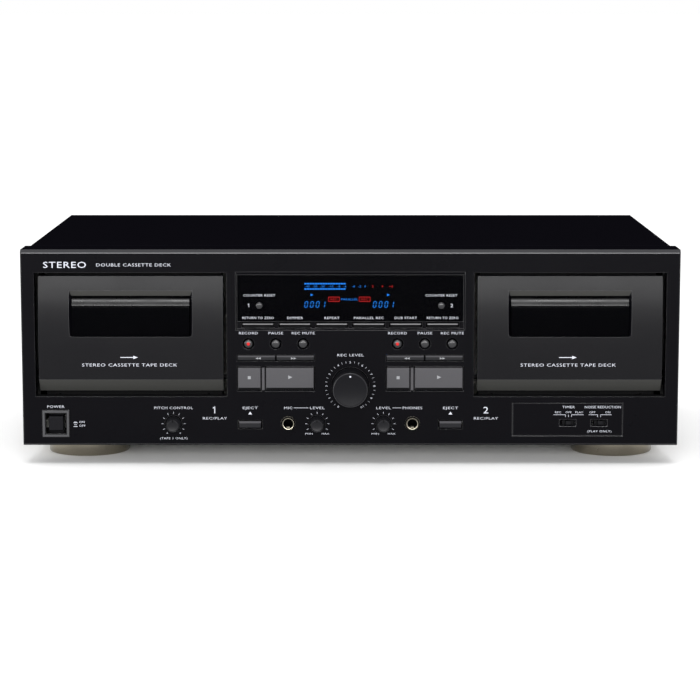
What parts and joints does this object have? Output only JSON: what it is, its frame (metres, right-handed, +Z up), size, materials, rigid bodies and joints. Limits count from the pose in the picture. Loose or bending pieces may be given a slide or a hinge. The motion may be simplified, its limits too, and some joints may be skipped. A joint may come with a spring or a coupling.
{
  "type": "double cassette deck",
  "caption": "Black rack-width double cassette deck: tilting cassette doors, display window, push keys and level knobs on a wide front panel, on round feet.",
  "frame": {"origin": "centre of the overall bounding box at floor level, on the plane of the feet", "axes": "+X to the right seen from the front, -Y towards the user in front of the panel, +Z up from the floor"},
  "size_m": [0.435, 0.2852, 0.145],
  "materials": {
    "panel_black": "satin black moulded front",
    "door_black": "satin black moulding",
    "smoked_plastic": "smoked clear plastic, polished",
    "cover_paint": "black painted sheet steel",
    "plated_steel": "zinc plated sheet steel",
    "key_grey": "dark grey metallic-look plastic",
    "knob_black": "satin black plastic",
    "champagne": "champagne metal-look plating on a moulded foot",
    "nickel": "nickel plated steel",
    "board_green": "green circuit board",
    "mechanism_plastic": "black engineering plastic"
  },
  "bodies": {
    "deck": {"front_panel": "panel_black", "top_cover": "cover_paint", "bottom_chassis": "plated_steel", "rear_panel": "plated_steel", "foot_front_left": "champagne", "foot_front_right": "champagne", "foot_rear_left": "champagne", "foot_rear_right": "champagne", "main_board": "board_green", "display_board": "board_green", "display_window": "smoked_plastic", "mic_jack": "nickel", "phones_jack": "nickel", "transport_chassis_1": "mechanism_plastic", "transport_chassis_2": "mechanism_plastic"},
    "door_assembly_1": {"door_1": "door_black", "door_window_1": "smoked_plastic", "cassette_holder_1": "mechanism_plastic"},
    "door_assembly_2": {"door_2": "door_black", "door_window_2": "smoked_plastic", "cassette_holder_2": "mechanism_plastic"},
    "recording_level_knob": {"recording_level_knob": "knob_black"},
    "pitch_knob": {"pitch_knob": "knob_black"},
    "mic_level_knob": {"mic_level_knob": "knob_black"},
    "phones_level_knob": {"phones_level_knob": "knob_black"},
    "timer_switch": {"timer_switch": "knob_black"},
    "noise_reduction_switch": {"noise_reduction_switch": "knob_black"},
    "power_button": {"power_button": "knob_black"},
    "return_to_zero_button_1": {"return_to_zero_button_1": "key_grey"},
    "dimmer_button": {"dimmer_button": "key_grey"},
    "repeat_button": {"repeat_button": "key_grey"},
    "parallel_record_button": {"parallel_record_button": "key_grey"},
    "dub_start_button": {"dub_start_button": "key_grey"},
    "return_to_zero_button_2": {"return_to_zero_button_2": "key_grey"},
    "record_button_1": {"record_button_1": "knob_black"},
    "pause_button_1": {"pause_button_1": "knob_black"},
    "record_mute_button_1": {"record_mute_button_1": "knob_black"},
    "rewind_button_1": {"rewind_button_1": "knob_black"},
    "forward_button_1": {"forward_button_1": "knob_black"},
    "stop_button_1": {"stop_button_1": "key_grey"},
    "play_button_1": {"play_button_1": "key_grey"},
    "eject_button_1": {"eject_button_1": "key_grey"},
    "counter_reset_button_1": {"counter_reset_button_1": "knob_black"},
    "record_button_2": {"record_button_2": "knob_black"},
    "pause_button_2": {"pause_button_2": "knob_black"},
    "record_mute_button_2": {"record_mute_button_2": "knob_black"},
    "rewind_button_2": {"rewind_button_2": "knob_black"},
    "forward_button_2": {"forward_button_2": "knob_black"},
    "stop_button_2": {"stop_button_2": "key_grey"},
    "play_button_2": {"play_button_2": "key_grey"},
    "eject_button_2": {"eject_button_2": "key_grey"},
    "counter_reset_button_2": {"counter_reset_button_2": "knob_black"},
    "supply_spindle_1": {"supply_spindle_1": "mechanism_plastic"},
    "takeup_spindle_1": {"takeup_spindle_1": "mechanism_plastic"},
    "capstan_flywheel_1": {"capstan_flywheel_1": "nickel"},
    "head_plate_1": {"head_plate_1": "nickel"},
    "supply_spindle_2": {"supply_spindle_2": "mechanism_plastic"},
    "takeup_spindle_2": {"takeup_spindle_2": "mechanism_plastic"},
    "capstan_flywheel_2": {"capstan_flywheel_2": "nickel"},
    "head_plate_2": {"head_plate_2": "nickel"}
  },
  "joints": [
    {"name": "door_1_tilt", "type": "hinge", "parent": "deck", "child": "door_assembly_1", "pos_m": [-0.1452, -0.11065, 0.058], "axis": [1, 0, 0], "range_deg": [0, 22]},
    {"name": "door_2_tilt", "type": "hinge", "parent": "deck", "child": "door_assembly_2", "pos_m": [0.1452, -0.11065, 0.058], "axis": [1, 0, 0], "range_deg": [0, 22]},
    {"name": "recording_level_turn", "type": "hinge", "parent": "deck", "child": "recording_level_knob", "pos_m": [0, -0.12515, 0.0539], "axis": [0, 1, 0], "range_deg": [-150, 150]},
    {"name": "pitch_turn", "type": "hinge", "parent": "deck", "child": "pitch_knob", "pos_m": [-0.1174, -0.12515, 0.0287], "axis": [0, 1, 0], "range_deg": [-150, 150]},
    {"name": "mic_level_turn", "type": "hinge", "parent": "deck", "child": "mic_level_knob", "pos_m": [-0.022, -0.12515, 0.0287], "axis": [0, 1, 0], "range_deg": [-150, 150]},
    {"name": "phones_level_turn", "type": "hinge", "parent": "deck", "child": "phones_level_knob", "pos_m": [0.022, -0.12515, 0.0287], "axis": [0, 1, 0], "range_deg": [-150, 150]},
    {"name": "timer_switch_slide", "type": "slide", "parent": "deck", "child": "timer_switch", "axis": [1, 0, 0], "range_m": [-0.002, 0.002]},
    {"name": "noise_reduction_switch_slide", "type": "slide", "parent": "deck", "child": "noise_reduction_switch", "axis": [1, 0, 0], "range_m": [-0.002, 0]},
    {"name": "power_button_push", "type": "slide", "parent": "deck", "child": "power_button", "axis": [0, 1, 0], "range_m": [-0.003, 0]},
    {"name": "return_to_zero_button_1_push", "type": "slide", "parent": "deck", "child": "return_to_zero_button_1", "axis": [0, 1, 0], "range_m": [0, 0.001], "stiffness_N_per_m": 200, "springref_m": -0.0005},
    {"name": "dimmer_button_push", "type": "slide", "parent": "deck", "child": "dimmer_button", "axis": [0, 1, 0], "range_m": [0, 0.001], "stiffness_N_per_m": 200, "springref_m": -0.0005},
    {"name": "repeat_button_push", "type": "slide", "parent": "deck", "child": "repeat_button", "axis": [0, 1, 0], "range_m": [0, 0.001], "stiffness_N_per_m": 200, "springref_m": -0.0005},
    {"name": "parallel_record_button_push", "type": "slide", "parent": "deck", "child": "parallel_record_button", "axis": [0, 1, 0], "range_m": [0, 0.001], "stiffness_N_per_m": 200, "springref_m": -0.0005},
    {"name": "dub_start_button_push", "type": "slide", "parent": "deck", "child": "dub_start_button", "axis": [0, 1, 0], "range_m": [0, 0.001], "stiffness_N_per_m": 200, "springref_m": -0.0005},
    {"name": "return_to_zero_button_2_push", "type": "slide", "parent": "deck", "child": "return_to_zero_button_2", "axis": [0, 1, 0], "range_m": [0, 0.001], "stiffness_N_per_m": 200, "springref_m": -0.0005},
    {"name": "record_button_1_push", "type": "slide", "parent": "deck", "child": "record_button_1", "axis": [0, 1, 0], "range_m": [0, 0.0012], "stiffness_N_per_m": 200, "springref_m": -0.0005},
    {"name": "pause_button_1_push", "type": "slide", "parent": "deck", "child": "pause_button_1", "axis": [0, 1, 0], "range_m": [0, 0.0012], "stiffness_N_per_m": 200, "springref_m": -0.0005},
    {"name": "record_mute_button_1_push", "type": "slide", "parent": "deck", "child": "record_mute_button_1", "axis": [0, 1, 0], "range_m": [0, 0.0012], "stiffness_N_per_m": 200, "springref_m": -0.0005},
    {"name": "rewind_button_1_push", "type": "slide", "parent": "deck", "child": "rewind_button_1", "axis": [0, 1, 0], "range_m": [0, 0.001], "stiffness_N_per_m": 200, "springref_m": -0.0005},
    {"name": "forward_button_1_push", "type": "slide", "parent": "deck", "child": "forward_button_1", "axis": [0, 1, 0], "range_m": [0, 0.001], "stiffness_N_per_m": 200, "springref_m": -0.0005},
    {"name": "stop_button_1_push", "type": "slide", "parent": "deck", "child": "stop_button_1", "axis": [0, 1, 0], "range_m": [0, 0.0015], "stiffness_N_per_m": 200, "springref_m": -0.0005},
    {"name": "play_button_1_push", "type": "slide", "parent": "deck", "child": "play_button_1", "axis": [0, 1, 0], "range_m": [0, 0.0015], "stiffness_N_per_m": 200, "springref_m": -0.0005},
    {"name": "eject_button_1_push", "type": "slide", "parent": "deck", "child": "eject_button_1", "axis": [0, 1, 0], "range_m": [0, 0.003], "stiffness_N_per_m": 300, "springref_m": -0.0005},
    {"name": "counter_reset_button_1_push", "type": "slide", "parent": "deck", "child": "counter_reset_button_1", "axis": [0, 1, 0], "range_m": [0, 0.001], "stiffness_N_per_m": 200, "springref_m": -0.0005},
    {"name": "record_button_2_push", "type": "slide", "parent": "deck", "child": "record_button_2", "axis": [0, 1, 0], "range_m": [0, 0.0012], "stiffness_N_per_m": 200, "springref_m": -0.0005},
    {"name": "pause_button_2_push", "type": "slide", "parent": "deck", "child": "pause_button_2", "axis": [0, 1, 0], "range_m": [0, 0.0012], "stiffness_N_per_m": 200, "springref_m": -0.0005},
    {"name": "record_mute_button_2_push", "type": "slide", "parent": "deck", "child": "record_mute_button_2", "axis": [0, 1, 0], "range_m": [0, 0.0012], "stiffness_N_per_m": 200, "springref_m": -0.0005},
    {"name": "rewind_button_2_push", "type": "slide", "parent": "deck", "child": "rewind_button_2", "axis": [0, 1, 0], "range_m": [0, 0.001], "stiffness_N_per_m": 200, "springref_m": -0.0005},
    {"name": "forward_button_2_push", "type": "slide", "parent": "deck", "child": "forward_button_2", "axis": [0, 1, 0], "range_m": [0, 0.001], "stiffness_N_per_m": 200, "springref_m": -0.0005},
    {"name": "stop_button_2_push", "type": "slide", "parent": "deck", "child": "stop_button_2", "axis": [0, 1, 0], "range_m": [0, 0.0015], "stiffness_N_per_m": 200, "springref_m": -0.0005},
    {"name": "play_button_2_push", "type": "slide", "parent": "deck", "child": "play_button_2", "axis": [0, 1, 0], "range_m": [0, 0.0015], "stiffness_N_per_m": 200, "springref_m": -0.0005},
    {"name": "eject_button_2_push", "type": "slide", "parent": "deck", "child": "eject_button_2", "axis": [0, 1, 0], "range_m": [0, 0.003], "stiffness_N_per_m": 300, "springref_m": -0.0005},
    {"name": "counter_reset_button_2_push", "type": "slide", "parent": "deck", "child": "counter_reset_button_2", "axis": [0, 1, 0], "range_m": [0, 0.001], "stiffness_N_per_m": 200, "springref_m": -0.0005},
    {"name": "supply_spindle_1_spin", "type": "hinge", "parent": "deck", "child": "supply_spindle_1", "pos_m": [-0.16645, -0.12515, 0.098], "axis": [0, 1, 0], "continuous": true},
    {"name": "takeup_spindle_1_spin", "type": "hinge", "parent": "deck", "child": "takeup_spindle_1", "pos_m": [-0.12395, -0.12515, 0.098], "axis": [0, 1, 0], "continuous": true},
    {"name": "capstan_1_spin", "type": "hinge", "parent": "deck", "child": "capstan_flywheel_1", "pos_m": [-0.1247, -0.12515, 0.07], "axis": [0, 1, 0], "continuous": true},
    {"name": "head_plate_1_lift", "type": "slide", "parent": "deck", "child": "head_plate_1", "axis": [0, 0, 1], "range_m": [0, 0.006], "stiffness_N_per_m": 60, "springref_m": -0.001},
    {"name": "supply_spindle_2_spin", "type": "hinge", "parent": "deck", "child": "supply_spindle_2", "pos_m": [0.12395, -0.12515, 0.098], "axis": [0, 1, 0], "continuous": true},
    {"name": "takeup_spindle_2_spin", "type": "hinge", "parent": "deck", "child": "takeup_spindle_2", "pos_m": [0.16645, -0.12515, 0.098], "axis": [0, 1, 0], "continuous": true},
    {"name": "capstan_2_spin", "type": "hinge", "parent": "deck", "child": "capstan_flywheel_2", "pos_m": [0.1657, -0.12515, 0.07], "axis": [0, 1, 0], "continuous": true},
    {"name": "head_plate_2_lift", "type": "slide", "parent": "deck", "child": "head_plate_2", "axis": [0, 0, 1], "range_m": [0, 0.006], "stiffness_N_per_m": 60, "springref_m": -0.001}
  ]
}
